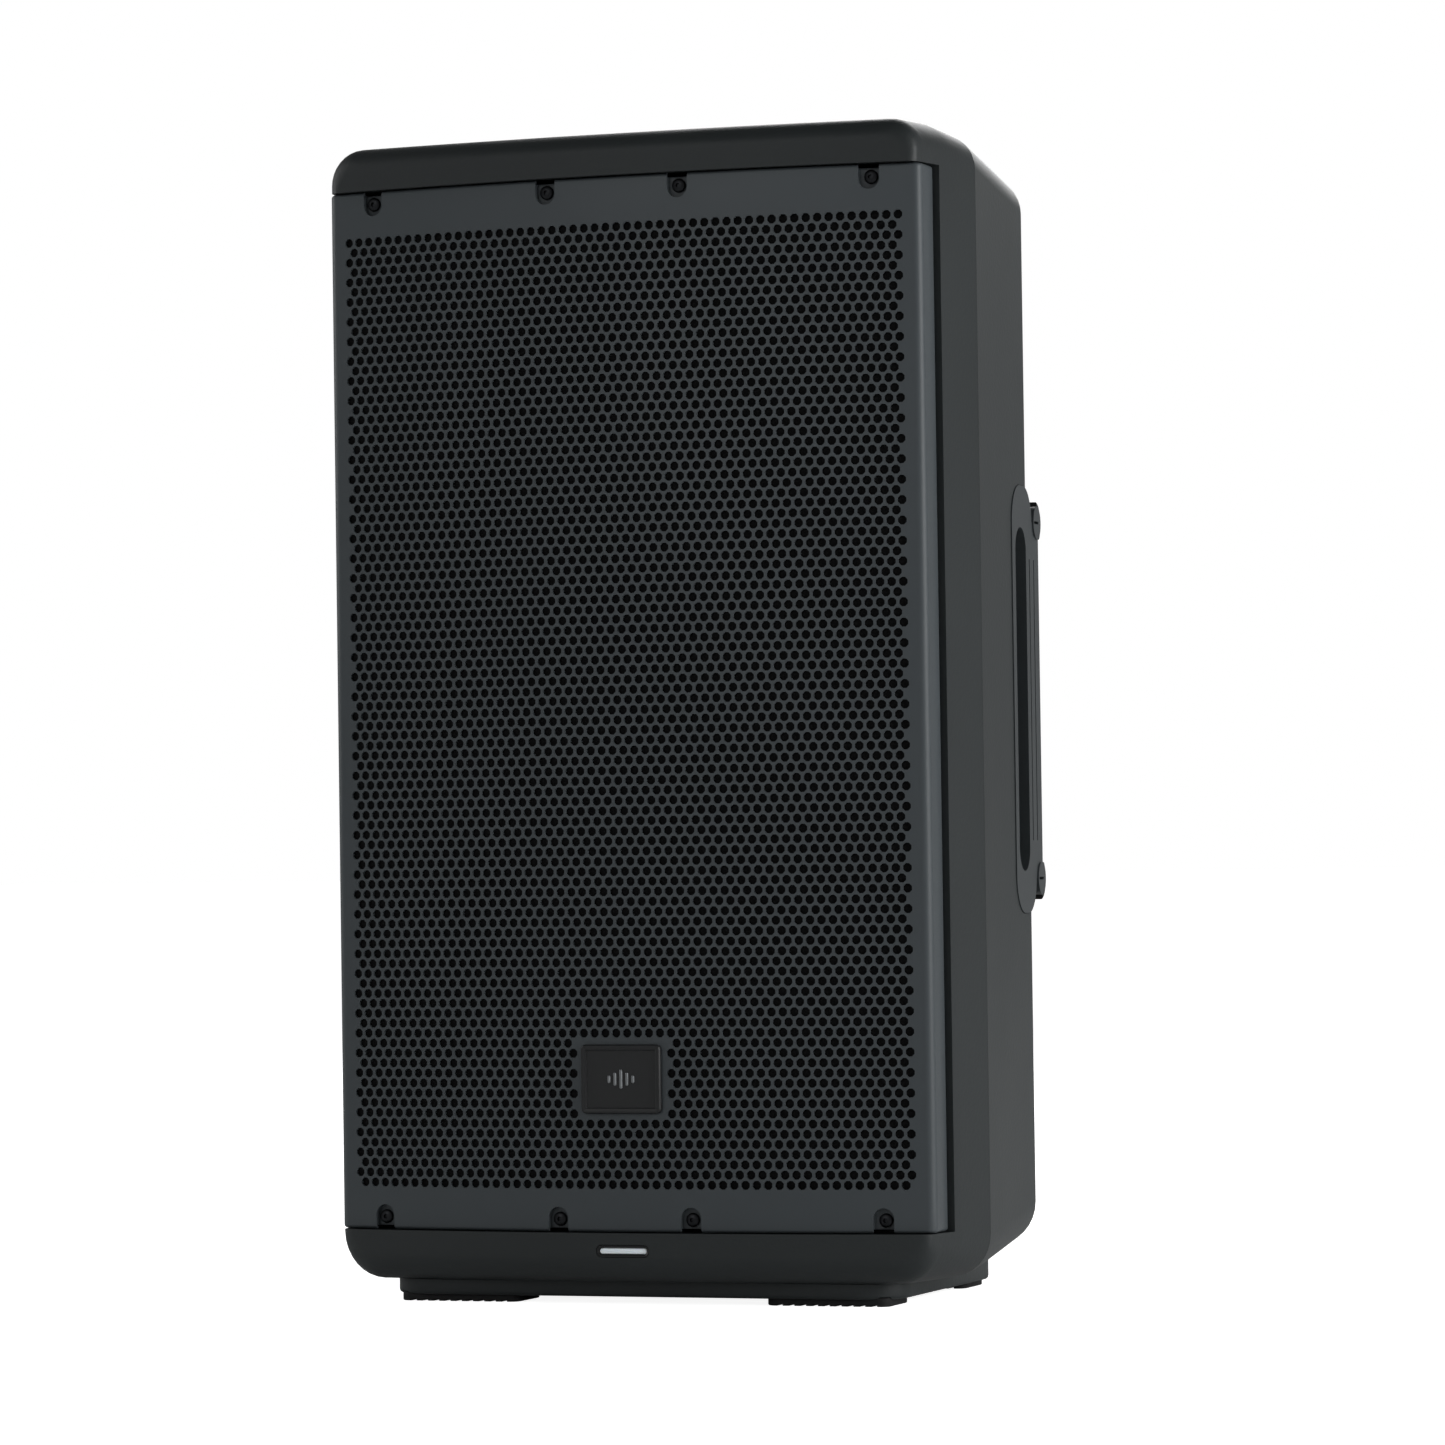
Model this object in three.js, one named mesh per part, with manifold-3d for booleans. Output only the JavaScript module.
// Powered two-way PA loudspeaker: moulded cabinet in two shells, perforated bowed grille, 12-inch
// woofer, horn with compression driver, rear amplifier panel, side handles, feet and pole socket.
// Millimetres. +X is the right side seen from the front, -Y is the front, +Z is up.
// The origin is the bottom centre of the object's box, on the surface it stands on.
import * as THREE from 'three';
import { mergeVertices } from 'three/addons/utils/BufferGeometryUtils.js';
import Module from 'manifold-3d';

const wasm = await Module();
wasm.setup();

// ---------------------------------------------------------------- driving dimensions
const WIDTH = 381;
const HEIGHT = 663;
const DEPTH = 316;
const WALL = 4.5;
const GAP = 0.3;                 // left between neighbours that touch on the real object

// cabinet, in plan
const FRONT = -DEPTH / 2;
const REAR = DEPTH / 2;
const HALF = WIDTH / 2;          // at the joint between the two shells
const FRONT_HALF = HALF - 12.5;
const TAPER_HALF = HALF - 10.5;  // where the rear corners start to taper
const REAR_HALF = HALF - 85.5;
const PARTING = FRONT + 83;
const TAPER_START = REAR - 110;
const FRONT_EDGE = 6;
const BOW_RADIUS = 1107;         // of the bowed front
const BOW_DEPTH = 50;            // the bow dies out over this depth

// cabinet, from the side
const UNDERSIDE = 13;
const LIP_ROLL = 19;
const TOP_LIP_FACE = HEIGHT - 12.5;
const UNDER_LIP_FACE = UNDERSIDE + 15.5;
const TOP_FALL = 0.107;
const UNDER_FLAT_END = PARTING + 10;
const UNDER_RISE = 0.097;
const REAR_TOP_ROUND = 12;
const REAR_UNDER_ROUND = 30;
const TOP_CORNER = 20;
const UNDER_CORNER = 25;
const LIP_CORNER_LOSS = 5;       // the corners are this much tighter at the lips' face

// grille and the baffle behind it
const GRILLE_BOTTOM = 41.5;
const GRILLE_TOP = HEIGHT - 25.5;
const GRILLE_FACE = FRONT + 3;
const GRILLE_SHEET = 1.5;
const GRILLE_HALF = FRONT_HALF + 1;
const GRILLE_BEND = 5;
const GRILLE_CLEAR = 0.5;
const BAFFLE = FRONT + 41;
const BAFFLE_THICK = 8;
const FLANGE_END = BAFFLE - 2.5;
const FOAM_THICK = 5;
const FOAM_HALF = GRILLE_HALF - 6.5;
const FOAM_MARGIN = 22;
const OUTER_SCREW_X = GRILLE_HALF - 28;
const INNER_SCREW_X = 40;
const SCREW_X = [-OUTER_SCREW_X, -INNER_SCREW_X, INNER_SCREW_X, OUTER_SCREW_X];
const SCREW_INSET = 7;
const DIMPLE = { width: 12, height: 14, depth: 4 };
const POST_RADIUS = 5;
const SCREW = { head: 4, headHeight: 2.2, shank: 1.8, length: 12 };
const PILOT_DEPTH = 13;

// badge and power light
const BADGE = { width: 48, height: 39, thick: 2.6, bevel: 0.8, z: 128 };
const LIGHT = { width: 28, height: 3, deep: 7, z: 31.5, rim: 4, sink: 0.8 };

// woofer
const WOOFER_Z = 218;
const BASKET_RADIUS = 154;
const BASKET_FLANGE = 4;
const WOOFER_CUTOUT = BASKET_RADIUS - 12;
const CONE_RADIUS = BASKET_RADIUS - 33;
const CONE_THICK = 1.6;
const SURROUND_THICK = 0.8;
const SPIDER_RADIUS = 62;
const SPIDER_THICK = 1.2;
const COIL_RADIUS = 26;
const COIL_WALL = 0.8;
const COIL_CLEAR = 0.6;
const MAGNET_RADIUS = 75;
const MAGNET_THICK = 18;
const PLATE_THICK = 8;
const WOOFER_DEPTH = 86;         // from the baffle's face to the magnet's front plate
const BOLT = { head: 4.5, headHeight: 4, shank: 2.5, length: 12, circle: BASKET_RADIUS - 6 };

// horn, compression driver and ports
const HORN_Z = GRILLE_TOP - 132.5;
const MOUTH = { half: 140, rise: 90, flange: 10 };
const HORN_LENGTH = 72;
const HORN_WALL = 3;
const THROAT = 12.7;
const DRIVER_RADIUS = 45;
const DRIVER_LENGTH = 46;
const CHAMBER = { radius: 24, start: 15, end: 33 };
const DIAPHRAGM_RADIUS = 22;
const PORT = { x: FRONT_HALF - 40, z: WOOFER_Z + 142, bore: 28, wall: 2, flange: 6, length: 78 };

// amplifier panel, sunk into the rear wall
const AMP = { half: 85.7, bottom: 118, top: HEIGHT - 103, sheet: 3, sunk: 19 };
const LEDGE = 6;
const PITCH = 50;
const JACK_Z = 285;
const KNOB_Z = 240;
const BUTTON_Z = 212;
const MAINS_Z = 155;
const JACK = {
  width: 26, height: 31, flange: 2, barrel: 11.7, depth: 24,
  bore: 9.2, cup: 9.8, cupDepth: 16, core: 7.4, plug: 3.4,
};
const PIN = { radius: 1.2, circle: 5.5, end: -4 };
const KNOB = { radius: 7, length: 12, shaft: 3, behind: 8, stand: 2, flute: 0.5, flutes: 12, pointer: 0.6 };
const BUTTON = { side: 8, proud: 5, behind: 6 };
const LATCH = { width: 7, height: 2.6, proud: 2.4, behind: 3 };
const INLET = { width: 50, height: 26, bodyWidth: 27.5, bodyHeight: 20, depth: 20, lip: 1.7 };
const ROCKER = {
  width: 13, height: 20, tilt: 7, proud: 3.5, behind: 5, hollow: 1.2, taper: 2, swing: 1.4, x: 40,
};
const SINK = { half: 70, bottom: 330, top: AMP.top - 15, base: 3, fins: 9, fin: 2, finHeight: 9 };
const BOARD = { half: 75, thick: 1.6, behind: 6 };
const SUPPLY = { x: [-60, 30], z: [350, 440], thick: 42 };

// side handles
const HANDLE = {
  bottom: HEIGHT / 2 - 114.5, top: HEIGHT / 2 + 134.5, front: 5, arch: 58, rear: 75,
  inner: HALF - 32.5, corner: 22, proud: 0.6,
};
const SLOT = { front: 13, rear: 41, margin: 24.5 };
const POCKET_FLOOR = HALF - 62.5;
const BOSS = { y: 69, inset: 20, radius: 9.7 };
const BUMPER_WALL = 2.6;

// underside
const BASE = { half: HALF - 35.5, front: FRONT + 23, rear: TAPER_START + 4, z: 4, corner: 25 };
const FOOT = {
  inner: HALF - 115.5, outer: HALF - 42.5, length: 38, corner: 6, seat: 1.5, ridge: 1.2, pitch: 7,
  frontY: FRONT + 46, rearY: TAPER_START - 22,
};
const POLE = { y: 5, bore: 18.2, wall: 3.5, depth: 92, roof: 4, flange: 40, flangeThick: 2.6 };

const FAR = 1000;                // longer than the object, for cuts that run right through

// ---------------------------------------------------------------- solids from three.js geometry
function signedVolume(position, index) {
  const corner = [new THREE.Vector3(), new THREE.Vector3(), new THREE.Vector3()];
  let volume = 0;
  for (let i = 0; i < index.length; i += 3) {
    corner.forEach((point, k) => point.fromArray(position, 3 * index[i + k]));
    volume += corner[0].dot(corner[1].cross(corner[2])) / 6;
  }
  return volume;
}

// A profile or outline may be listed either way round: the faces are turned outwards here.
function solid(geometry) {
  const bare = geometry.clone();
  bare.deleteAttribute('normal');
  bare.deleteAttribute('uv');
  const merged = mergeVertices(bare, 1e-4);
  const position = Float32Array.from(merged.attributes.position.array);
  const index = Uint32Array.from(merged.index.array);
  if (signedVolume(position, index) < 0) index.reverse();
  return new wasm.Manifold(new wasm.Mesh({ numProp: 3, vertProperties: position, triVerts: index }));
}

function geometryOf(body) {
  const mesh = body.getMesh();
  const geometry = new THREE.BufferGeometry();
  geometry.setAttribute('position', new THREE.BufferAttribute(Float32Array.from(mesh.vertProperties), 3));
  geometry.setIndex(new THREE.BufferAttribute(Uint32Array.from(mesh.triVerts), 1));
  geometry.computeVertexNormals();
  return geometry;
}

const joined = (bodies) => bodies.reduce((all, body) => all.add(body));
const mirrored = (body) => body.mirror([1, 0, 0]);

function box([x0, x1], [y0, y1], [z0, z1]) {
  const geometry = new THREE.BoxGeometry(x1 - x0, y1 - y0, z1 - z0);
  return solid(geometry.translate((x0 + x1) / 2, (y0 + y1) / 2, (z0 + z1) / 2));
}

function rodY(radius, [y0, y1], x, z, sides = 16) {
  const geometry = new THREE.CylinderGeometry(radius, radius, y1 - y0, sides);
  return solid(geometry.translate(x, (y0 + y1) / 2, z));
}

// A cutter whose flats, not its corners, reach the radius, so a rod of any sides passes through.
const boreY = (radius, y, x, z, sides = 16) => rodY(radius / Math.cos(Math.PI / sides), y, x, z, sides);

// A closed profile of [radius, y] points turned about the Y direction through (x, z).
function turnedY(profile, x, z, segments = 24) {
  const points = profile.map(([radius, y]) => new THREE.Vector2(radius, y));
  if (profile[0][0] > 0) points.push(points[0].clone());
  return solid(new THREE.LatheGeometry(points, segments).translate(x, 0, z));
}

function turnedZ(profile, x, y, segments = 20) {
  const points = profile.map(([radius, z]) => new THREE.Vector2(radius, z));
  if (profile[0][0] > 0) points.push(points[0].clone());
  return solid(new THREE.LatheGeometry(points, segments).rotateX(Math.PI / 2).translate(x, y, 0));
}

function extruded(shape, depth, curveSegments) {
  return new THREE.ExtrudeGeometry(shape, { depth, bevelEnabled: false, curveSegments });
}

// Outlines in the side view hold [y, z], in the front view [x, z] and in plan [x, y].
function prismX(shape, [x0, x1], curveSegments = 3) {
  const turn = new THREE.Matrix4().makeBasis(
    new THREE.Vector3(0, 1, 0), new THREE.Vector3(0, 0, 1), new THREE.Vector3(1, 0, 0));
  return solid(extruded(shape, x1 - x0, curveSegments).applyMatrix4(turn).translate(x0, 0, 0));
}

function prismY(shape, [y0, y1], curveSegments = 2) {
  return solid(extruded(shape, y1 - y0, curveSegments).rotateX(Math.PI / 2).translate(0, y1, 0));
}

function prismZ(shape, [z0, z1], curveSegments = 2) {
  return solid(extruded(shape, z1 - z0, curveSegments).translate(0, 0, z0));
}

const outline = (points) => new THREE.Shape(points.map(([a, b]) => new THREE.Vector2(a, b)));

function roundedRect([a0, a1], [b0, b1], radius) {
  const shape = new THREE.Shape();
  shape.absarc(a1 - radius, b0 + radius, radius, -Math.PI / 2, 0);
  shape.absarc(a1 - radius, b1 - radius, radius, 0, Math.PI / 2);
  shape.absarc(a0 + radius, b1 - radius, radius, Math.PI / 2, Math.PI);
  shape.absarc(a0 + radius, b0 + radius, radius, Math.PI, 1.5 * Math.PI);
  shape.closePath();
  return shape;
}

const centredRect = (a, b, width, height, radius) =>
  roundedRect([a - width / 2, a + width / 2], [b - height / 2, b + height / 2], radius);

function disc(a, b, radius) {
  const shape = new THREE.Shape();
  shape.absarc(a, b, radius, 0, 2 * Math.PI);
  return shape;
}

// Rings of equal point counts joined by quads, closed by a fan of quads at each end: point k of a
// ring faces point (count - 1 - k) across it.
function lofted(rings) {
  const count = rings[0].length;
  const index = [];
  for (let r = 0; r + 1 < rings.length; r++) {
    for (let k = 0; k < count; k++) {
      const a = r * count + k;
      const b = r * count + (k + 1) % count;
      index.push(a, b, b + count, a, b + count, a + count);
    }
  }
  const last = (rings.length - 1) * count;
  for (let k = 0; k + 1 < count / 2; k++) {
    const [a, b, c, d] = [k, k + 1, count - 2 - k, count - 1 - k];
    index.push(a, c, b, a, d, c);
    index.push(last + a, last + b, last + c, last + a, last + c, last + d);
  }
  const geometry = new THREE.BufferGeometry();
  geometry.setAttribute('position', new THREE.Float32BufferAttribute(rings.flat(2), 3));
  geometry.setIndex(index);
  return solid(geometry);
}

// ---------------------------------------------------------------- cabinet surface
const lerp = THREE.MathUtils.lerp;
const clamp = THREE.MathUtils.clamp;
const share = (value, from, to) => clamp((value - from) / (to - from), 0, 1);
const bow = (x) => BOW_RADIUS - Math.sqrt(BOW_RADIUS ** 2 - x ** 2);
const quarter = (radius, along) => radius - Math.sqrt(radius ** 2 - clamp(along, 0, radius) ** 2);

function halfWidthAt(y) {
  const edge = quarter(FRONT_EDGE, FRONT + FRONT_EDGE - y);
  if (y < PARTING) return lerp(FRONT_HALF, HALF, share(y, FRONT + FRONT_EDGE, PARTING)) - edge;
  if (y < TAPER_START) return lerp(HALF, TAPER_HALF, share(y, PARTING, TAPER_START));
  return lerp(TAPER_HALF, REAR_HALF, share(y, TAPER_START, REAR));
}

function topAt(y) {
  const roll = quarter(LIP_ROLL, FRONT + LIP_ROLL - y) * (HEIGHT - TOP_LIP_FACE) / LIP_ROLL;
  const fall = TOP_FALL * Math.max(y - FRONT - BOW_DEPTH, 0);
  return HEIGHT - roll - fall - quarter(REAR_TOP_ROUND, y - REAR + REAR_TOP_ROUND);
}

function undersideAt(y) {
  const roll = quarter(LIP_ROLL, FRONT + LIP_ROLL - y) * (UNDER_LIP_FACE - UNDERSIDE) / LIP_ROLL;
  const rise = UNDER_RISE * Math.max(y - UNDER_FLAT_END, 0);
  return UNDERSIDE + roll + rise + quarter(REAR_UNDER_ROUND, y - REAR + REAR_UNDER_ROUND);
}

const cornerAt = (radius, y) => radius - LIP_CORNER_LOSS * (1 - share(y, FRONT, FRONT + LIP_ROLL));

// One ring of the cabinet's surface, moved inwards by inset: left to right below, back above.
function cabinetRing(y, inset) {
  const half = halfWidthAt(y) - inset;
  const arcSteps = 3;
  const acrossSteps = 6;
  const edge = (level, radius, up) => {
    const points = [];
    for (let k = 0; k <= arcSteps; k++) {
      const angle = (k / arcSteps) * Math.PI / 2;
      points.push([radius * (1 - Math.cos(angle)) - half, level + up * radius * (1 - Math.sin(angle))]);
    }
    for (let k = 1; k < acrossSteps; k++) {
      points.push([lerp(radius - half, half - radius, k / acrossSteps), level]);
    }
    for (let k = arcSteps; k >= 0; k--) points.push([-points[k][0], points[k][1]]);
    return points;
  };
  const below = edge(undersideAt(y) + inset, cornerAt(UNDER_CORNER, y) - inset, 1);
  const above = edge(topAt(y) - inset, cornerAt(TOP_CORNER, y) - inset, -1);
  const bowShare = 1 - share(y, FRONT, FRONT + BOW_DEPTH);
  return [...below, ...above.reverse()].map(([x, z]) => [x, y + bow(x) * bowShare, z]);
}

function cabinetBody(inset) {
  const steps = [0, 1, 2, 3, 4];
  const lip = steps.map((k) => FRONT + LIP_ROLL * (1 - Math.cos(k * Math.PI / 8)));
  const back = steps.map((k) => REAR - REAR_UNDER_ROUND * (1 - Math.sin(k * Math.PI / 8)));
  const stations = [...lip, FRONT + BOW_DEPTH, PARTING, UNDER_FLAT_END, TAPER_START, ...back]
    .map((y) => clamp(y, FRONT + inset, REAR - inset));
  const rings = [...new Set(stations)].map((y) => cabinetRing(y, inset));
  return lofted(rings);
}

const everyX = [-FAR, FAR];
const everyY = [-FAR, FAR];
const everyZ = [-FAR, FAR];
const cabinet = cabinetBody(0);
const hollow = cabinetBody(WALL);

// ---------------------------------------------------------------- assembly
const finishes = {
  cabinet: [0x36393b, 0.62, 0],
  handle: [0x4a4d4f, 0.6, 0],
  grille: [0x2b2d2f, 0.5, 0.2],
  foam: [0x101011, 0.95, 0],
  rubber: [0x1a1a1b, 0.85, 0],
  steel: [0x8d8f91, 0.4, 0.9],
  blackScrew: [0x1d1e1f, 0.4, 0.8],
  castAlloy: [0x54585c, 0.55, 0.7],
  ferrite: [0x2c2c2d, 0.7, 0],
  paper: [0x1b1b1c, 0.9, 0],
  cloth: [0xa88b52, 0.9, 0],
  copper: [0xa3623a, 0.4, 0.8],
  titanium: [0xa6a9ad, 0.3, 0.9],
  horn: [0x232425, 0.5, 0],
  panel: [0x1b1c1d, 0.5, 0.3],
  jack: [0x141415, 0.4, 0],
  board: [0x1f4a2c, 0.6, 0],
  light: [0xdfe6ea, 0.3, 0],
};

const speaker = new THREE.Group();

function piece(name, body, finish, position = [0, 0, 0]) {
  const [color, roughness, metalness] = finishes[finish];
  const geometry = body.isBufferGeometry ? body : geometryOf(body);
  const mesh = new THREE.Mesh(geometry, new THREE.MeshStandardMaterial({ color, roughness, metalness }));
  mesh.name = name;
  mesh.position.set(...position);
  speaker.add(mesh);
}

// ---------------------------------------------------------------- grille, foam and their screws
const grilleFaceAt = (x) => GRILLE_FACE + bow(x);
const grilleZ = [GRILLE_BOTTOM + GRILLE_CLEAR, GRILLE_TOP - GRILLE_CLEAR];
const screwRows = [
  { row: 'top', z: grilleZ[1] - SCREW_INSET, outwards: 1 },
  { row: 'bottom', z: grilleZ[0] + SCREW_INSET, outwards: -1 },
];
const screwPlaces = screwRows.flatMap((row) => SCREW_X.map((x, k) => ({ ...row, x, number: k + 1 })));
const dimpleFloorAt = (x) => grilleFaceAt(x) + DIMPLE.depth;

// The sheet's skin in plan at a depth below its face: bowed face, a rounded bend and a side flange.
function grilleSkin(depth) {
  const half = GRILLE_HALF - depth;
  const faceHalf = half - GRILLE_BEND;
  const face = [];
  for (let k = 0; k <= 8; k++) {
    const x = faceHalf * k / 8;
    face.push([x, grilleFaceAt(x) + depth]);
  }
  const bendEnd = grilleFaceAt(half) + GRILLE_BEND;
  for (let k = 1; k <= 3; k++) {
    const angle = k * Math.PI / 6;
    face.push([faceHalf + GRILLE_BEND * Math.sin(angle),
      lerp(grilleFaceAt(faceHalf) + depth, bendEnd, 1 - Math.cos(angle))]);
  }
  face.push([half, FLANGE_END]);
  return [...face.slice(1).reverse().map(([x, y]) => [-x, y]), ...face];
}

// A U-shaped well, open towards the grille's edge.
function dimpleShape({ x, z, outwards }, grow) {
  const half = DIMPLE.width / 2 + grow;
  const closed = z - outwards * (DIMPLE.height - SCREW_INSET - DIMPLE.width / 2);
  const open = z + outwards * (SCREW_INSET + grow);
  const shape = new THREE.Shape();
  shape.moveTo(x - half, open);
  shape.lineTo(x - half, closed);
  shape.absarc(x, closed, half, Math.PI, 0, outwards < 0);
  shape.lineTo(x + half, open);
  shape.closePath();
  return shape;
}

function grille() {
  const sheet = outline([...grilleSkin(0), ...grilleSkin(GRILLE_SHEET).reverse()]);
  let body = prismZ(sheet, grilleZ);
  for (const place of screwPlaces) {
    const floor = dimpleFloorAt(place.x);
    const well = prismY(dimpleShape(place, GRILLE_SHEET), [grilleFaceAt(place.x) + 0.5, floor + GRILLE_SHEET]);
    body = body.add(well.intersect(box(everyX, everyY, grilleZ)));
  }
  for (const place of screwPlaces) {
    const floor = dimpleFloorAt(place.x);
    body = body.subtract(prismY(dimpleShape(place, 0), [GRILLE_FACE - FAR, floor]));
    body = body.subtract(boreY(SCREW.shank + GAP, [floor - 1, floor + FAR], place.x, place.z, 8));
  }
  return body;
}

piece('grille', grille(), 'grille');

function grilleFoam() {
  const front = [];
  for (let k = -8; k <= 8; k++) front.push([FOAM_HALF * k / 8, 0]);
  const near = front.map(([x]) => [x, grilleFaceAt(x) + GRILLE_SHEET + GAP]);
  const far = near.map(([x, y]) => [x, y + FOAM_THICK]).reverse();
  return prismZ(outline([...near, ...far]), [GRILLE_BOTTOM + FOAM_MARGIN, GRILLE_TOP - FOAM_MARGIN]);
}

piece('grille_foam', grilleFoam(), 'foam');

const screw = geometryOf(turnedY([
  [0, 0], [SCREW.head - 1, 0], [SCREW.head, 1], [SCREW.head, SCREW.headHeight],
  [SCREW.shank, SCREW.headHeight], [SCREW.shank, SCREW.headHeight + SCREW.length],
  [0, SCREW.headHeight + SCREW.length],
], 0, 0, 12));
for (const { row, number, x, z } of screwPlaces) {
  piece(`grille_screw_${row}_${number}`, screw, 'blackScrew',
    [x, dimpleFloorAt(x) - GAP - SCREW.headHeight, z]);
}

// ---------------------------------------------------------------- badge and power light
function badge() {
  const shape = centredRect(0, BADGE.z, BADGE.width - 2 * BADGE.bevel, BADGE.height - 2 * BADGE.bevel, 2);
  const geometry = new THREE.ExtrudeGeometry(shape, {
    depth: BADGE.thick - BADGE.bevel, bevelThickness: BADGE.bevel, bevelSize: BADGE.bevel,
    bevelSegments: 1, curveSegments: 3,
  });
  const plate = solid(geometry.rotateX(Math.PI / 2).translate(0, GRILLE_FACE - GAP, 0));
  return plate.intersect(box(everyX, [-FAR, GRILLE_FACE - GAP], everyZ));
}

piece('badge_plate', badge(), 'panel');

const lightShape = (grow) =>
  centredRect(0, LIGHT.z, LIGHT.width + 2 * grow, LIGHT.height + 2 * grow, LIGHT.height / 2 + grow - 0.01);
piece('power_light', prismY(lightShape(0), [FRONT + LIGHT.sink, FRONT + LIGHT.sink + LIGHT.deep]), 'light');

// ---------------------------------------------------------------- front shell
const mouthOutline = (grow) => centredRect(0, HORN_Z, 2 * (MOUTH.half + grow), 2 * (MOUTH.rise + grow), 20);
const boltPlaces = [45, 135, 225, 315].map((degrees) => {
  const angle = THREE.MathUtils.degToRad(degrees);
  return [BOLT.circle * Math.cos(angle), WOOFER_Z + BOLT.circle * Math.sin(angle)];
});

function frontShell() {
  const inside = joined([
    box(everyX, [BAFFLE + BAFFLE_THICK, FAR], everyZ),
    box(everyX, everyY, [GRILLE_TOP + WALL, FAR]),
    box(everyX, everyY, [-FAR, GRILLE_BOTTOM - WALL]),
  ]);
  let body = cabinet.intersect(box(everyX, [-FAR, PARTING - GAP / 2], everyZ));
  body = body.subtract(hollow.intersect(inside));
  body = body.subtract(box(everyX, [-FAR, BAFFLE], [GRILLE_BOTTOM, GRILLE_TOP]));
  for (const { x, z } of screwPlaces) {
    const top = dimpleFloorAt(x) + GRILLE_SHEET + GAP;
    body = body.add(rodY(POST_RADIUS, [top, BAFFLE + 1], x, z, 10));
    body = body.subtract(boreY(SCREW.shank + GAP, [top - 1, top + PILOT_DEPTH], x, z, 8));
  }
  body = body.subtract(boreY(WOOFER_CUTOUT, [BAFFLE - 1, BAFFLE + BAFFLE_THICK + 1], 0, WOOFER_Z, 40));
  body = body.subtract(prismY(mouthOutline(HORN_WALL + GAP), [BAFFLE - 1, BAFFLE + BAFFLE_THICK + 1]));
  for (const x of [-PORT.x, PORT.x]) {
    body = body.subtract(boreY(PORT.bore + PORT.wall + GAP, [BAFFLE - 1, BAFFLE + BAFFLE_THICK + 1], x, PORT.z));
  }
  for (const [x, z] of boltPlaces) {
    body = body.subtract(boreY(BOLT.shank + GAP, [BAFFLE - 1, BAFFLE + BAFFLE_THICK + 1], x, z, 8));
  }
  body = body.subtract(prismY(lightShape(LIGHT.rim), [FRONT - 1, FRONT + LIGHT.sink]));
  return body.subtract(prismY(lightShape(GAP), [FRONT - 1, FRONT + LIGHT.deep + WALL]));
}

piece('front_shell', frontShell(), 'cabinet');

// ---------------------------------------------------------------- handles
// The side face, carried straight on past the start of the taper.
const SIDE_SLOPE = (TAPER_HALF - HALF) / (TAPER_START - PARTING);
const sideFaceAt = (y) => HALF + SIDE_SLOPE * (y - PARTING);
const slotZ = [HANDLE.bottom + SLOT.margin, HANDLE.top - SLOT.margin];
const bossHeights = [HANDLE.bottom + BOSS.inset, HANDLE.top - BOSS.inset];
const bumperTurns = { bottom: -1, top: 1 };

// The handle's outline from the side, without its slot, grown by a clearance.
function handleOutline(grow, xRange) {
  const arch = roundedRect(
    [HANDLE.front - grow, HANDLE.arch + grow], [HANDLE.bottom - grow, HANDLE.top + grow],
    HANDLE.corner + grow);
  const grip = roundedRect([SLOT.rear, HANDLE.rear + grow], [bossHeights[0], bossHeights[1]], 3);
  const bosses = bossHeights.map((z) => prismX(disc(BOSS.y, z, BOSS.radius + grow), xRange, 14));
  return joined([prismX(arch, xRange), prismX(grip, xRange), ...bosses]);
}

// Everything inboard of the side face, standing proud of it by a little.
function behindSideFace(proud) {
  const far = BOSS.y + 40;
  const [near, away] = [sideFaceAt(0) + proud, sideFaceAt(far) + proud];
  return prismZ(outline([[0, 0], [near, 0], [away, far], [0, far]]), everyZ);
}

function handle() {
  let body = handleOutline(0, [HANDLE.inner, HALF]).intersect(behindSideFace(HANDLE.proud));
  const slot = roundedRect([SLOT.front, SLOT.rear], slotZ, (SLOT.rear - SLOT.front) / 2 - 0.01);
  return body.subtract(prismX(slot, [0, FAR]));
}

// A rubber band round the outside of each end boss.
function bumper(z, up) {
  const inner = BOSS.radius + GAP;
  const outer = inner + BUMPER_WALL;
  const from = up * THREE.MathUtils.degToRad(-75);
  const to = up * THREE.MathUtils.degToRad(80);
  const shape = new THREE.Shape();
  shape.absarc(BOSS.y, z, outer, from, to, up < 0);
  shape.absarc(BOSS.y, z, inner, to, from, up > 0);
  shape.closePath();
  const xRange = [HANDLE.inner + 2, HALF];
  const clear = handleOutline(GAP / 2, [0, FAR]);
  return prismX(shape, xRange, 6).subtract(clear).intersect(behindSideFace(HANDLE.proud));
}

function handlePocket() {
  return box([POCKET_FLOOR, FAR], [SLOT.front - 0.5, FAR], slotZ);
}

function pocketWalls() {
  const grip = box([POCKET_FLOOR - WALL, FAR], [SLOT.front - 0.5 - WALL, FAR], [slotZ[0] - WALL, slotZ[1] + WALL]);
  const seat = box([HANDLE.inner - GAP - WALL, FAR], [HANDLE.front - GAP - WALL, BOSS.y + 20],
    [HANDLE.bottom - GAP - WALL, HANDLE.top + GAP + WALL]);
  return grip.add(seat);
}

const handleSeat = handleOutline(GAP, [HANDLE.inner - GAP, FAR])
  .add(joined(bossHeights.map((z) => prismX(disc(BOSS.y, z, BOSS.radius + BUMPER_WALL + 2 * GAP),
    [HANDLE.inner - GAP, FAR], 14))));

for (const [side, place] of [['left', mirrored], ['right', (body) => body]]) {
  piece(`handle_${side}`, place(handle()), 'handle');
  for (const [k, end] of ['bottom', 'top'].entries()) {
    piece(`handle_bumper_${side}_${end}`, place(bumper(bossHeights[k], bumperTurns[end])), 'rubber');
  }
}

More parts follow.
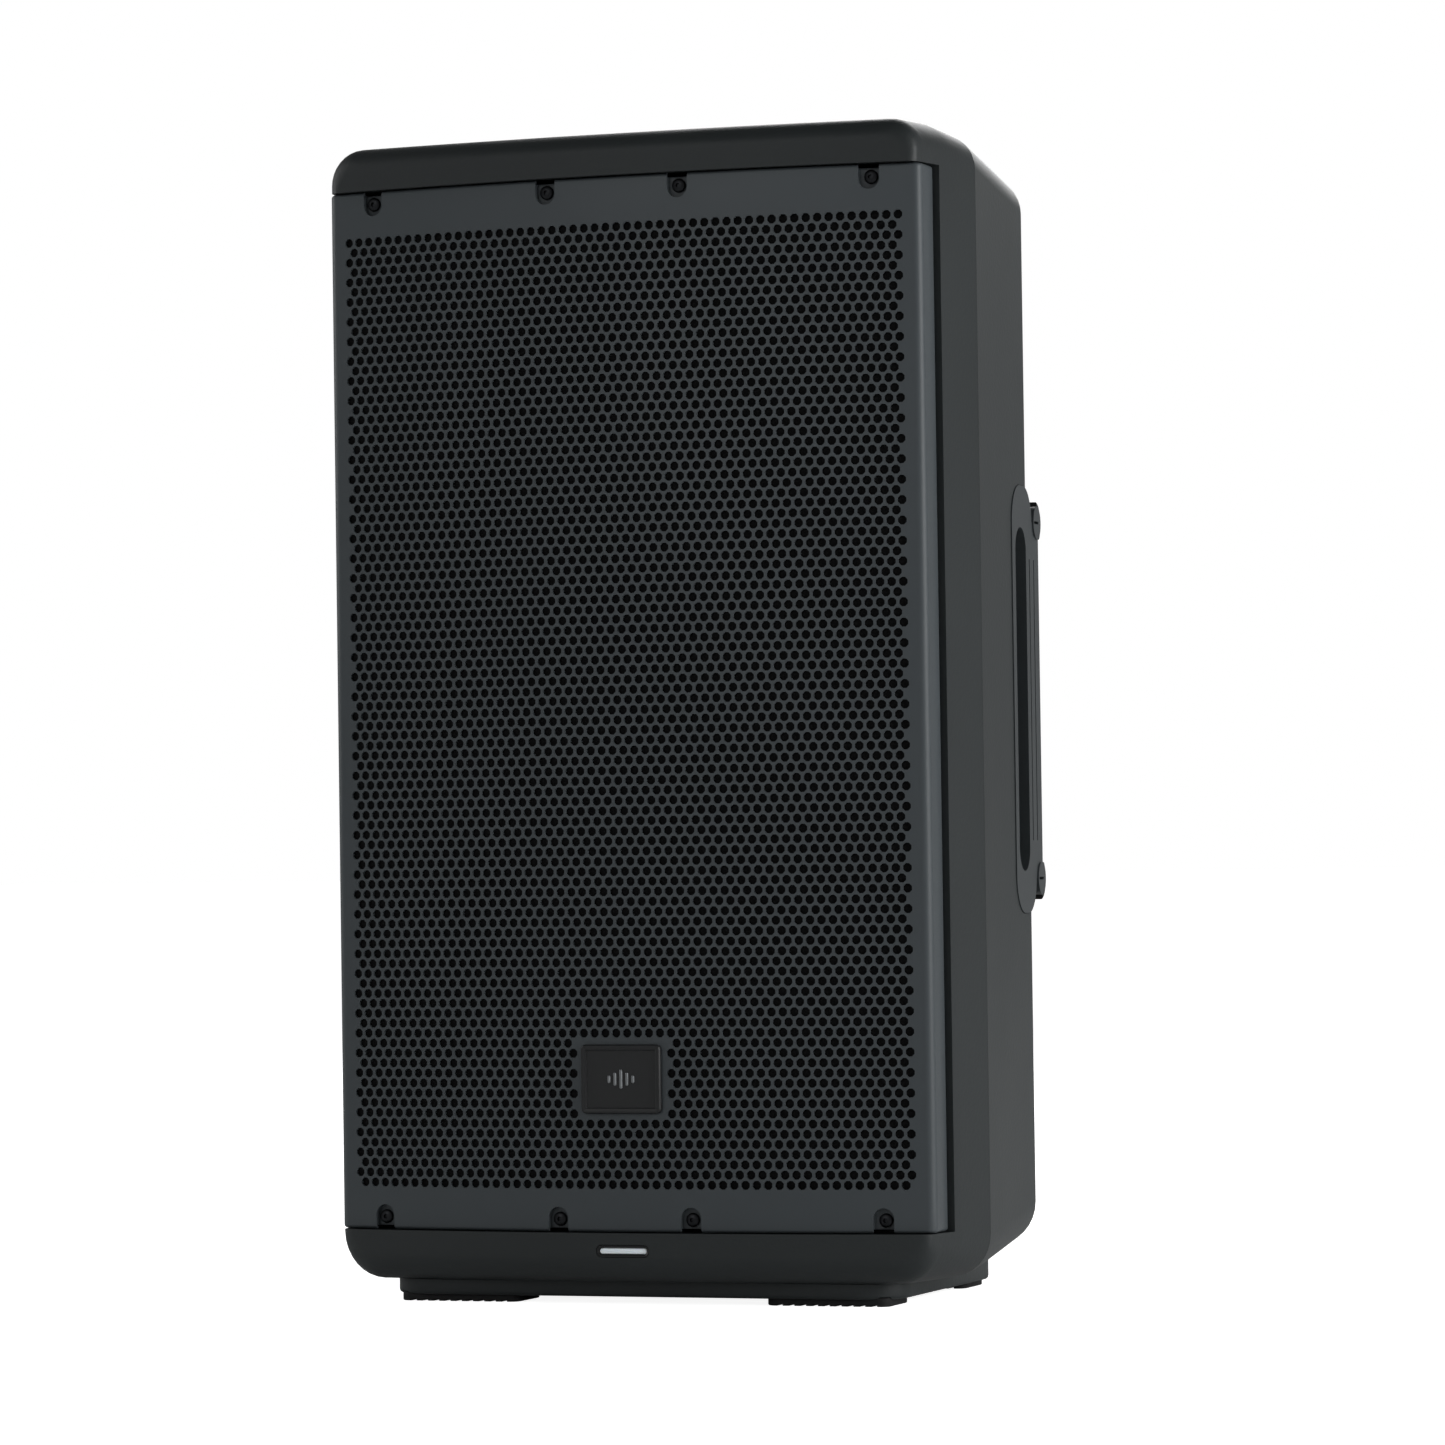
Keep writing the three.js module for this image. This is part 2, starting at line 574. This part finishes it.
// ---------------------------------------------------------------- rear shell
const ampBack = REAR - AMP.sunk;                 // the panel's outer face
const ampSeat = ampBack - AMP.sheet - GAP;       // the ledge it is screwed to
const poleOuter = POLE.bore + POLE.wall;
const poleClear = poleOuter + GAP;
const poleHole = turnedZ([[0, 0], [poleClear, 0], [poleClear, POLE.depth], [0, POLE.depth]], 0, POLE.y);

function rearShell() {
  let body = cabinet.subtract(hollow).intersect(box(everyX, [PARTING + GAP / 2, FAR], everyZ));
  const walls = pocketWalls();
  const wellHalf = AMP.half + GAP;
  const well = box([-wellHalf - WALL, wellHalf + WALL], [ampSeat - WALL, FAR],
    [AMP.bottom - GAP - WALL, AMP.top + GAP + WALL]);
  const added = joined([walls, mirrored(walls), well]).intersect(cabinet);
  body = body.add(added);
  const pocket = handlePocket().add(handleSeat);
  body = body.subtract(pocket).subtract(mirrored(pocket));
  body = body.subtract(box([-wellHalf, wellHalf], [ampSeat, FAR], [AMP.bottom - GAP, AMP.top + GAP]));
  body = body.subtract(box([-wellHalf + LEDGE, wellHalf - LEDGE], [ampSeat - 2 * WALL, FAR],
    [AMP.bottom - GAP + LEDGE, AMP.top + GAP - LEDGE]));
  return body.subtract(poleHole);
}

piece('rear_shell', rearShell(), 'cabinet');

// ---------------------------------------------------------------- base, feet and pole socket
const footHeight = BASE.z + FOOT.seat - GAP;
const footWidth = FOOT.outer - FOOT.inner;
const footX = (FOOT.inner + FOOT.outer) / 2;
const footPlaces = [
  ['front_left', -footX, FOOT.frontY], ['front_right', footX, FOOT.frontY],
  ['rear_left', -footX, FOOT.rearY], ['rear_right', footX, FOOT.rearY],
];

function basePlate() {
  const top = (y) => [y, undersideAt(y) - GAP];
  const side = outline([
    [BASE.front, BASE.z], [BASE.rear, BASE.z], top(BASE.rear), top(UNDER_FLAT_END), top(BASE.front),
  ]);
  let body = prismX(side, [-BASE.half, BASE.half]);
  const plan = roundedRect([-BASE.half, BASE.half], [BASE.front, BASE.rear], BASE.corner);
  body = body.intersect(prismZ(plan, everyZ));
  for (const [, x, y] of footPlaces) {
    const seat = centredRect(x, y, footWidth + 2 * GAP, FOOT.length + 2 * GAP, FOOT.corner + GAP);
    body = body.subtract(prismZ(seat, [0, BASE.z + FOOT.seat]));
  }
  return body.subtract(poleHole);
}

piece('base_plate', basePlate(), 'cabinet');

function foot() {
  let body = prismZ(centredRect(0, 0, footWidth, FOOT.length, FOOT.corner), [0, footHeight], 4);
  const grooves = Math.floor((footWidth - FOOT.corner) / FOOT.pitch);
  for (let k = 0; k < grooves; k++) {
    const x = (k - (grooves - 1) / 2) * FOOT.pitch;
    body = body.subtract(box([x - FOOT.pitch / 4, x + FOOT.pitch / 4], everyY, [-1, FOOT.ridge]));
  }
  return geometryOf(body);
}

const footGeometry = foot();
for (const [corner, x, y] of footPlaces) piece(`foot_${corner}`, footGeometry, 'rubber', [x, y, 0]);

function poleSocket() {
  const flangeTop = BASE.z - GAP;
  const flangeBottom = flangeTop - POLE.flangeThick;
  return turnedZ([
    [POLE.bore, flangeBottom], [POLE.flange, flangeBottom], [POLE.flange, flangeTop], [poleOuter, flangeTop],
    [poleOuter, flangeBottom + POLE.depth + POLE.roof], [0, flangeBottom + POLE.depth + POLE.roof],
    [0, flangeBottom + POLE.depth], [POLE.bore, flangeBottom + POLE.depth],
  ], 0, POLE.y);
}

piece('pole_socket', poleSocket(), 'castAlloy');

// ---------------------------------------------------------------- woofer
const wooferY = (depth) => BAFFLE + depth;
const flangeFront = BAFFLE - GAP - BASKET_FLANGE;
const motorFront = wooferY(WOOFER_DEPTH);
const spiderSeat = motorFront - 19;
const bore = COIL_RADIUS + COIL_WALL / 2 + COIL_CLEAR;

function basket() {
  let body = turnedY([
    [BASKET_RADIUS, BAFFLE - GAP], [WOOFER_CUTOUT - 2, BAFFLE - GAP], [WOOFER_CUTOUT - 4, wooferY(9)],
    [SPIDER_RADIUS + 8, spiderSeat - 2], [SPIDER_RADIUS + 4, spiderSeat], [SPIDER_RADIUS + 4, motorFront - GAP],
    [bore + 3, motorFront - GAP], [bore + 3, motorFront - GAP - 3], [SPIDER_RADIUS + 1, motorFront - GAP - 3],
    [SPIDER_RADIUS + 1, spiderSeat + 3], [SPIDER_RADIUS - 5, spiderSeat + 3], [SPIDER_RADIUS - 5, spiderSeat],
    [SPIDER_RADIUS + 1, spiderSeat], [SPIDER_RADIUS + 1, spiderSeat - 2], [SPIDER_RADIUS + 6, spiderSeat - 5],
    [WOOFER_CUTOUT - 7.5, wooferY(7)], [WOOFER_CUTOUT - 6, flangeFront],
    [BASKET_RADIUS, flangeFront],
  ], 0, WOOFER_Z);
  for (let k = 0; k < 6; k++) {
    const window = new THREE.BoxGeometry(48, 58, 56);
    window.translate(WOOFER_CUTOUT - 38, (spiderSeat + wooferY(9)) / 2, 0);
    window.rotateY(k * Math.PI / 3).translate(0, 0, WOOFER_Z);
    body = body.subtract(solid(window));
  }
  for (const [x, z] of boltPlaces) body = body.subtract(boreY(BOLT.shank + GAP, [-FAR, BAFFLE], x, z, 8));
  return body;
}

piece('woofer_basket', basket(), 'castAlloy');

const hexBolt = geometryOf(rodY(BOLT.head, [0, BOLT.headHeight + 0.01], 0, 0, 6)
  .add(rodY(BOLT.shank, [BOLT.headHeight, BOLT.headHeight + BOLT.length], 0, 0, 8)));
for (const [k, [x, z]] of boltPlaces.entries()) {
  piece(`woofer_bolt_${k + 1}`, hexBolt, 'blackScrew', [x, flangeFront - GAP - BOLT.headHeight, z]);
}

const plateBack = motorFront + PLATE_THICK;
const magnetFront = plateBack + GAP;
const magnetBack = magnetFront + MAGNET_THICK;
const yokeFront = magnetBack + GAP;
const poleRadius = COIL_RADIUS - COIL_WALL / 2 - COIL_CLEAR;
const ring = (inner, outer, front, back) => [[inner, front], [outer, front], [outer, back], [inner, back]];
piece('woofer_top_plate', turnedY(ring(bore, MAGNET_RADIUS - 12, motorFront, plateBack), 0, WOOFER_Z), 'steel');
piece('woofer_magnet', turnedY(ring(bore + 9, MAGNET_RADIUS, magnetFront, magnetBack), 0, WOOFER_Z), 'ferrite');
piece('woofer_yoke', turnedY([
  [8, motorFront], [poleRadius, motorFront], [poleRadius, yokeFront], [MAGNET_RADIUS - 6, yokeFront],
  [MAGNET_RADIUS - 6, yokeFront + PLATE_THICK], [8, yokeFront + PLATE_THICK],
], 0, WOOFER_Z), 'steel');

const neck = wooferY(55);
const coneMouth = wooferY(1);
const neckRadius = COIL_RADIUS + COIL_WALL / 2 + GAP;
const coneFaceAt = (radius) => lerp(neck, coneMouth, (radius - neckRadius) / (CONE_RADIUS - neckRadius));
piece('voice_coil', turnedY(
  ring(COIL_RADIUS - COIL_WALL / 2, COIL_RADIUS + COIL_WALL / 2, neck - 2, plateBack + 3), 0, WOOFER_Z), 'copper');
piece('cone', turnedY([
  [neckRadius, neck], [CONE_RADIUS, coneMouth], [CONE_RADIUS, coneMouth + CONE_THICK], [neckRadius, neck + CONE_THICK],
], 0, WOOFER_Z), 'paper');
const spiderBack = spiderSeat - GAP;
const spiderRing = ring(neckRadius, SPIDER_RADIUS, spiderBack - SPIDER_THICK, spiderBack);
piece('spider', turnedY(spiderRing, 0, WOOFER_Z), 'cloth');

// A dome of the given rise over a circle, its skin closed on the axis.
function dome(radius, rim, rise, thick) {
  const front = [];
  const back = [];
  for (let k = 0; k <= 3; k++) {
    const angle = (k / 3) * Math.PI / 2;
    front.push([radius * Math.sin(angle), rim - rise * Math.cos(angle)]);
    back.push([(radius - thick) * Math.sin(angle), rim - (rise - thick) * Math.cos(angle)]);
  }
  return [...front, ...back.reverse()].map(([r, y]) => [r < 1e-6 ? 0 : r, y]);
}

const capRadius = 40;
piece('dust_cap', turnedY(dome(capRadius, coneFaceAt(capRadius) - GAP, 12, 0.9), 0, WOOFER_Z), 'paper');

function surroundProfile() {
  const outerRoll = 8.4;
  const innerRoll = outerRoll - SURROUND_THICK;
  const flatness = 0.6;
  const middle = CONE_RADIUS + GAP + outerRoll;
  const landing = flangeFront - GAP;
  const rim = BOLT.circle - 7;
  const arc = (radius) => [0, 1, 2, 3, 4].map((k) => {
    const angle = Math.PI * (1 - k / 4);
    return [middle + radius * Math.cos(angle), landing - radius * Math.sin(angle) * flatness];
  });
  const over = [[middle - outerRoll, coneMouth], ...arc(outerRoll)];
  over.at(-1)[1] = landing - SURROUND_THICK;
  over.push([rim, landing - SURROUND_THICK]);
  const under = [[rim, landing], ...arc(innerRoll).reverse(), [middle - innerRoll, coneMouth]];
  return [...over, ...under];
}

piece('surround', turnedY(surroundProfile(), 0, WOOFER_Z), 'rubber');

// ---------------------------------------------------------------- horn, driver and ports
// Sections blend from the rectangular mouth to the round throat with a flaring curve.
function hornBody(grow, overrun) {
  const rings = [];
  const steps = 6;
  const sides = 24;
  for (let k = -1; k <= steps + 1; k++) {
    const along = clamp(k / steps, 0, 1);
    const over = overrun * (k < 0 ? -1 : k > steps ? 1 : 0);
    if (over === 0 && (k < 0 || k > steps)) continue;
    const flare = (mouth) => THROAT * (mouth / THROAT) ** ((1 - along) ** 1.2) + grow;
    const squareness = lerp(0.45, 1, along);
    const section = [];
    for (let j = 0; j < sides; j++) {
      const angle = Math.PI + (j + 0.5) * 2 * Math.PI / sides;
      const round = (value) => Math.sign(value) * Math.abs(value) ** squareness;
      section.push([flare(MOUTH.half) * round(Math.cos(angle)), BAFFLE + along * HORN_LENGTH + over,
        HORN_Z + flare(MOUTH.rise) * round(Math.sin(angle))]);
    }
    rings.push(section);
  }
  return lofted(rings);
}

function horn() {
  const flange = prismY(
    centredRect(0, HORN_Z, 2 * (MOUTH.half + MOUTH.flange), 2 * (MOUTH.rise + MOUTH.flange), 12),
    [BAFFLE - GAP - HORN_WALL, BAFFLE - GAP]);
  const throatFlange = rodY(28, [BAFFLE + HORN_LENGTH - 4, BAFFLE + HORN_LENGTH], 0, HORN_Z);
  const flare = hornBody(HORN_WALL, 1).intersect(box(everyX, [-FAR, BAFFLE + HORN_LENGTH], everyZ));
  return flare.add(flange).add(throatFlange).subtract(hornBody(0, HORN_WALL + 1));
}

piece('horn', horn(), 'horn');

const driverFront = BAFFLE + HORN_LENGTH + GAP;
piece('compression_driver', turnedY([
  [THROAT, driverFront], [DRIVER_RADIUS, driverFront], [DRIVER_RADIUS, driverFront + DRIVER_LENGTH],
  [0, driverFront + DRIVER_LENGTH], [0, driverFront + CHAMBER.end], [CHAMBER.radius, driverFront + CHAMBER.end],
  [CHAMBER.radius, driverFront + CHAMBER.start], [THROAT, driverFront + CHAMBER.start],
], 0, HORN_Z, 20), 'castAlloy');
piece('driver_diaphragm', turnedY(
  dome(DIAPHRAGM_RADIUS, driverFront + CHAMBER.start + 12, 7, 0.6), 0, HORN_Z, 16), 'titanium');

for (const [side, x] of [['left', -PORT.x], ['right', PORT.x]]) {
  const outer = PORT.bore + PORT.wall;
  piece(`port_tube_${side}`, turnedY([
    [PORT.bore, BAFFLE - GAP - 2], [outer + PORT.flange, BAFFLE - GAP - 2], [outer + PORT.flange, BAFFLE - GAP],
    [outer, BAFFLE - GAP], [outer, BAFFLE + PORT.length], [PORT.bore, BAFFLE + PORT.length],
  ], x, PORT.z, 20), 'horn');
}

// ---------------------------------------------------------------- amplifier panel and controls
const jackPlaces = [['combo_jack_1', -PITCH], ['combo_jack_2', 0]];
const knobPlaces = [['gain_knob_1', -PITCH], ['gain_knob_2', 0], ['master_knob', PITCH]];
const buttonPlaces = [['mic_line_button_1', -PITCH], ['mic_line_button_2', 0]];
const latchZ = JACK_Z + JACK.barrel + LATCH.height / 2 + GAP;
const flangeBack = ampBack + GAP;
const flangeOuter = flangeBack + JACK.flange;
const through = [ampBack - AMP.sheet - 1, ampBack + 1];

function ampPanel() {
  let body = box([-AMP.half, AMP.half], [ampBack - AMP.sheet, ampBack], [AMP.bottom, AMP.top]);
  const opening = (x, z, width, height, corner) =>
    prismY(centredRect(x, z, width + 2 * GAP, height + 2 * GAP, corner), through);
  const cuts = [
    opening(-ROCKER.x, MAINS_Z, INLET.bodyWidth, INLET.bodyHeight, 2),
    opening(ROCKER.x, MAINS_Z, ROCKER.width, ROCKER.height + ROCKER.swing, 1),
  ];
  for (const x of [-PITCH, 0, PITCH]) cuts.push(boreY(JACK.barrel + GAP, through, x, JACK_Z));
  for (const [, x] of jackPlaces) cuts.push(opening(x, latchZ, LATCH.width, LATCH.height, GAP));
  for (const [, x] of knobPlaces) cuts.push(boreY(KNOB.shaft + GAP, through, x, KNOB_Z, 12));
  for (const [, x] of buttonPlaces) cuts.push(opening(x, BUTTON_Z, BUTTON.side, BUTTON.side, 1));
  for (const cut of cuts) body = body.subtract(cut);
  return body;
}

piece('amp_panel', ampPanel(), 'panel');

function heatSink() {
  const z = [SINK.bottom, SINK.top];
  let body = box([-SINK.half, SINK.half], [flangeBack, flangeBack + SINK.base], z);
  for (let k = 0; k < SINK.fins; k++) {
    const x = lerp(-SINK.half, SINK.half - SINK.fin, k / (SINK.fins - 1));
    body = body.add(box([x, x + SINK.fin], [flangeBack, flangeBack + SINK.base + SINK.finHeight], z));
  }
  return body;
}

piece('heat_sink', heatSink(), 'panel');

const boardBack = ampBack - AMP.sheet - BOARD.behind;
const boardFront = boardBack - BOARD.thick;
piece('amp_board', box([-BOARD.half, BOARD.half], [boardFront, boardBack], [SINK.bottom, SINK.top]), 'board');
const supplyBack = boardFront - GAP;
piece('power_supply', box(SUPPLY.x, [supplyBack - SUPPLY.thick, supplyBack], SUPPLY.z), 'ferrite');

function jackShell() {
  const flange = prismY(centredRect(0, 0, JACK.width, JACK.height, 3), [0, JACK.flange]);
  return flange.add(rodY(JACK.barrel, [-JACK.depth, 0.5], 0, 0));
}

function comboJack() {
  const socket = rodY(JACK.bore, [-JACK.cupDepth, FAR], 0, 0);
  const core = rodY(JACK.core, [-JACK.cupDepth - 1, JACK.flange - 3], 0, 0);
  const plugBore = boreY(JACK.plug, [2 - JACK.depth, FAR], 0, 0, 12);
  const slotShape = centredRect(0, latchZ - JACK_Z, LATCH.width + 2 * GAP, LATCH.height + 2 * GAP, GAP);
  const slot = prismY(slotShape, [-1, JACK.flange + 1]);
  return jackShell().subtract(socket).add(core).subtract(plugBore).subtract(slot);
}

function outputJack() {
  const cup = jackShell().subtract(boreY(JACK.cup, [-JACK.cupDepth, FAR], 0, 0));
  const pins = [-90, 30, 150].map((degrees) => {
    const angle = THREE.MathUtils.degToRad(degrees);
    const [x, z] = [PIN.circle * Math.cos(angle), PIN.circle * Math.sin(angle)];
    return rodY(PIN.radius, [-JACK.cupDepth - 1, PIN.end], x, z, 6);
  });
  return joined([cup, ...pins]);
}

const comboGeometry = geometryOf(comboJack());
const latch = geometryOf(box([-LATCH.width / 2, LATCH.width / 2],
  [-AMP.sheet - LATCH.behind, JACK.flange + LATCH.proud], [-LATCH.height / 2, LATCH.height / 2]));
for (const [name, x] of jackPlaces) {
  piece(name, comboGeometry, 'jack', [x, flangeBack, JACK_Z]);
  piece(name.replace('jack', 'latch'), latch, 'jack', [x, flangeBack, latchZ]);
}
piece('output_jack', outputJack(), 'jack', [PITCH, flangeBack, JACK_Z]);

function knob() {
  const shape = new THREE.Shape();
  const steps = 2 * KNOB.flutes;
  for (let k = 0; k < steps; k++) {
    const angle = (k / steps) * 2 * Math.PI;
    const radius = KNOB.radius - (k % 2) * KNOB.flute;
    shape[k ? 'lineTo' : 'moveTo'](radius * Math.cos(angle), radius * Math.sin(angle));
  }
  shape.closePath();
  const end = KNOB.stand + KNOB.length;
  const grip = prismY(shape, [KNOB.stand, end]);
  const pointer = box([-KNOB.pointer, KNOB.pointer], [end - 0.1, end + 0.5], [1, KNOB.radius - 1]);
  const shaft = rodY(KNOB.shaft, [-AMP.sheet - KNOB.behind, KNOB.stand + 0.5], 0, 0, 12);
  return geometryOf(joined([grip, pointer, shaft]));
}

const knobGeometry = knob();
for (const [name, x] of knobPlaces) piece(name, knobGeometry, 'jack', [x, ampBack, KNOB_Z]);

const buttonShape = centredRect(0, 0, BUTTON.side, BUTTON.side, 1);
const button = geometryOf(prismY(buttonShape, [-AMP.sheet - BUTTON.behind, BUTTON.proud]));
for (const [name, x] of buttonPlaces) piece(name, button, 'jack', [x, ampBack, BUTTON_Z]);

function mainsInlet() {
  const flange = prismY(centredRect(0, 0, INLET.width, INLET.height, 4), [0, JACK.flange]);
  const body = prismY(centredRect(0, 0, INLET.bodyWidth, INLET.bodyHeight, 1.5), [-INLET.depth, 0.5]);
  const recess = prismY(
    centredRect(0, 0, INLET.bodyWidth - 2 * INLET.lip, INLET.bodyHeight - 2 * INLET.lip, 1.5), [4 - INLET.depth, FAR]);
  const pins = [[-7, -2], [0, 2], [7, -2]].map(([x, z]) =>
    box([x - 1, x + 1], [3 - INLET.depth, -3], [z - 2, z + 2]));
  return joined([flange.add(body).subtract(recess), ...pins]);
}

piece('mains_inlet', mainsInlet(), 'jack', [-ROCKER.x, flangeBack, MAINS_Z]);

// The rocker rests tipped to one side; its pivot is in the panel's sheet.
function rocker() {
  const half = ROCKER.height / 2;
  const side = outline([
    [-ROCKER.behind, ROCKER.taper - half], [-ROCKER.behind, half - ROCKER.taper], [ROCKER.proud, half],
    [ROCKER.proud - ROCKER.hollow, 0], [ROCKER.proud, -half],
  ]);
  const body = prismX(side, [-ROCKER.width / 2, ROCKER.width / 2]);
  return geometryOf(body).rotateX(-THREE.MathUtils.degToRad(ROCKER.tilt));
}

piece('power_rocker', rocker(), 'jack', [ROCKER.x, ampBack - AMP.sheet / 2, MAINS_Z]);

export default speaker;
